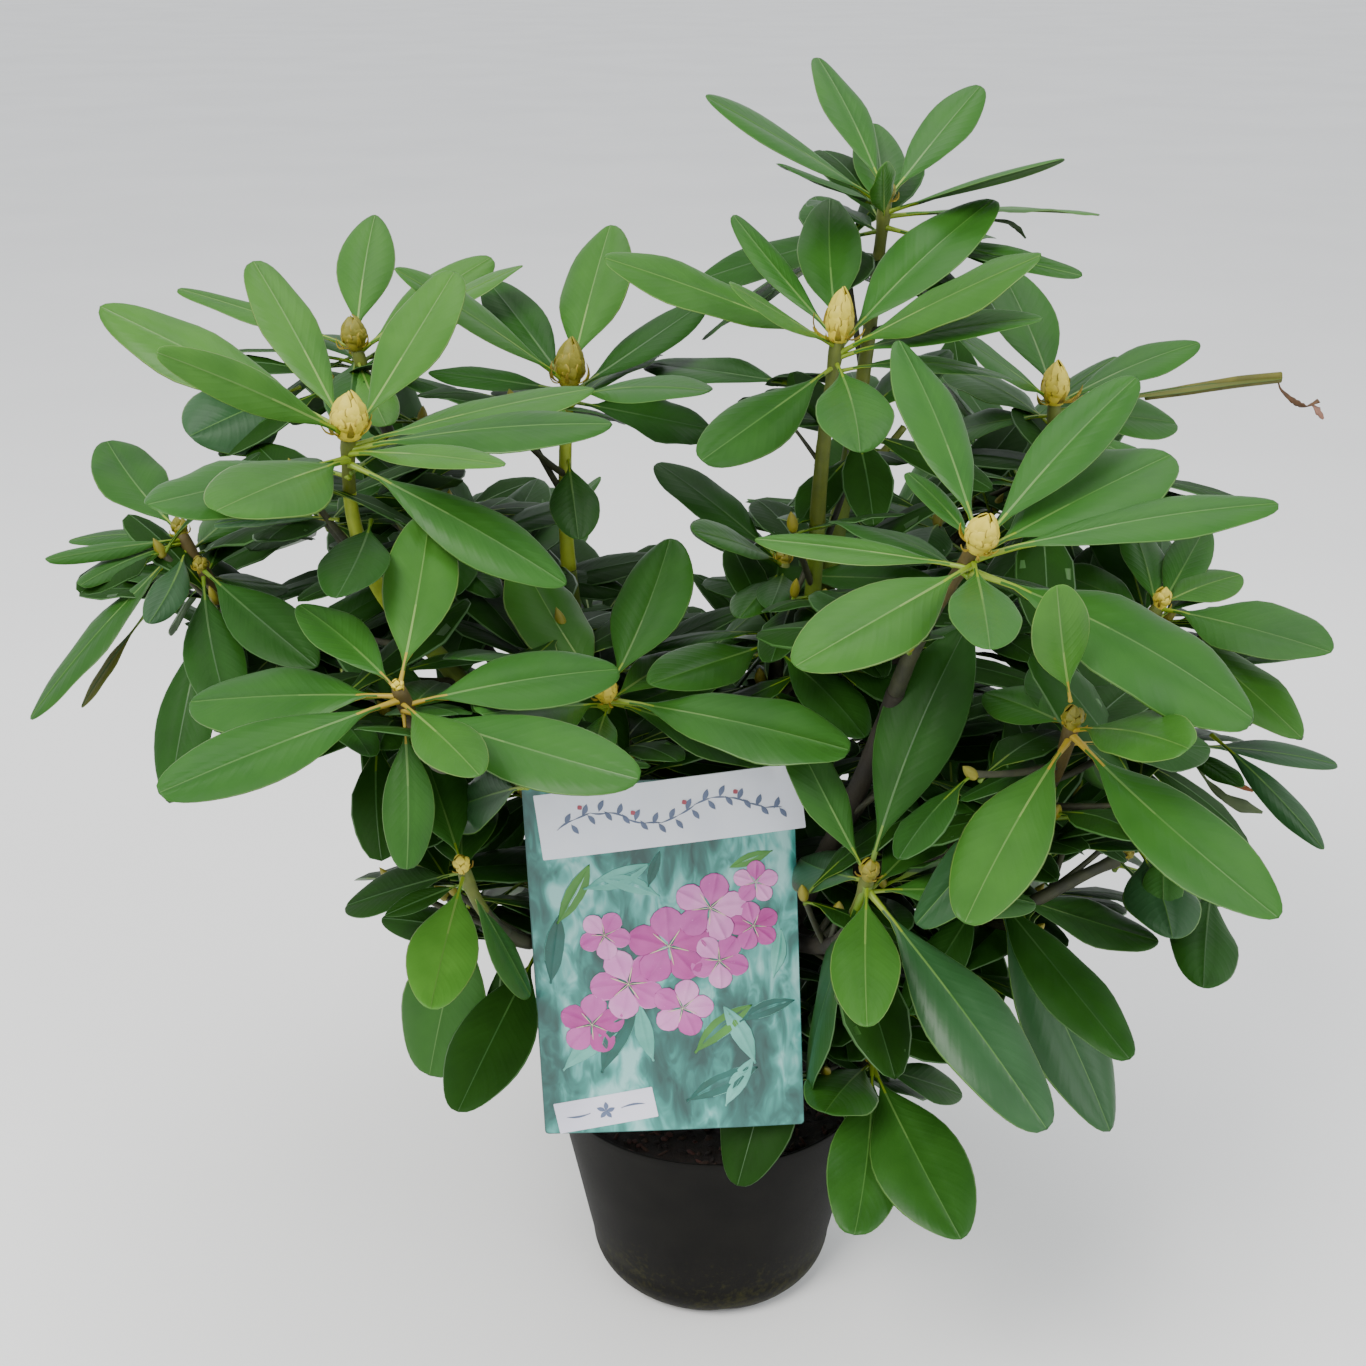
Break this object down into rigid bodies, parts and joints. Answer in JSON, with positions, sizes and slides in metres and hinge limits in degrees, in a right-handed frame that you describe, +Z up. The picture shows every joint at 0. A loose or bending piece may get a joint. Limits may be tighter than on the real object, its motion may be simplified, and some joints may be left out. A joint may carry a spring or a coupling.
{
  "type": "potted rhododendron",
  "caption": "Large-leaved evergreen shrub with a short trunk, spreading boughs and whorls of long leaves, standing in a round nursery pot with a tall plant label.",
  "frame": {"origin": "centre of the pot's flat underside, where the plant stands on the ground", "axes": "+Z up along the pot's axis, +X across the label card to its right side, +Y to the back, away from the label"},
  "size_m": [0.7763, 0.6073, 0.7505],
  "materials": {
    "pot": "matte",
    "soil": "matte",
    "card": "satin",
    "stake": "satin",
    "bark": "matte",
    "foliage": "satin"
  },
  "bodies": {
    "root": {"pot": "pot", "soil": "soil", "label_card": "card", "label_stake": "stake", "trunk": "bark", "bough_west_high": "bark", "bough_centre_left": "bark", "bough_crown_top": "bark", "bough_far_east": "bark", "bough_front_east": "bark", "bough_back_west": "bark", "bough_back_east": "bark", "bough_back_low": "bark", "bough_low_east": "bark", "bough_far_west": "bark", "bough_front_west": "bark", "bough_low_west": "bark", "bough_west_back": "bark", "bough_front_centre": "bark", "bough_crown_front": "bark", "bough_inner": "bark", "bough_east_high": "bark", "bough_front_east_low": "bark", "bough_low_centre": "bark", "bough_low_far_east": "bark", "foliage_west_high": "foliage", "foliage_west_back": "foliage", "foliage_centre_left": "foliage", "foliage_far_west": "foliage", "foliage_front_west": "foliage", "foliage_front_centre": "foliage", "foliage_low_west": "foliage", "foliage_crown_top": "foliage", "foliage_crown_front": "foliage", "foliage_east_high": "foliage", "foliage_front_east": "foliage", "foliage_far_east": "foliage", "foliage_front_east_low": "foliage", "foliage_low_centre": "foliage", "foliage_low_east": "foliage", "foliage_inner": "foliage", "foliage_low_far_east": "foliage", "foliage_back_west": "foliage", "foliage_back_east": "foliage", "foliage_back_low": "foliage"}
  },
  "joints": []
}
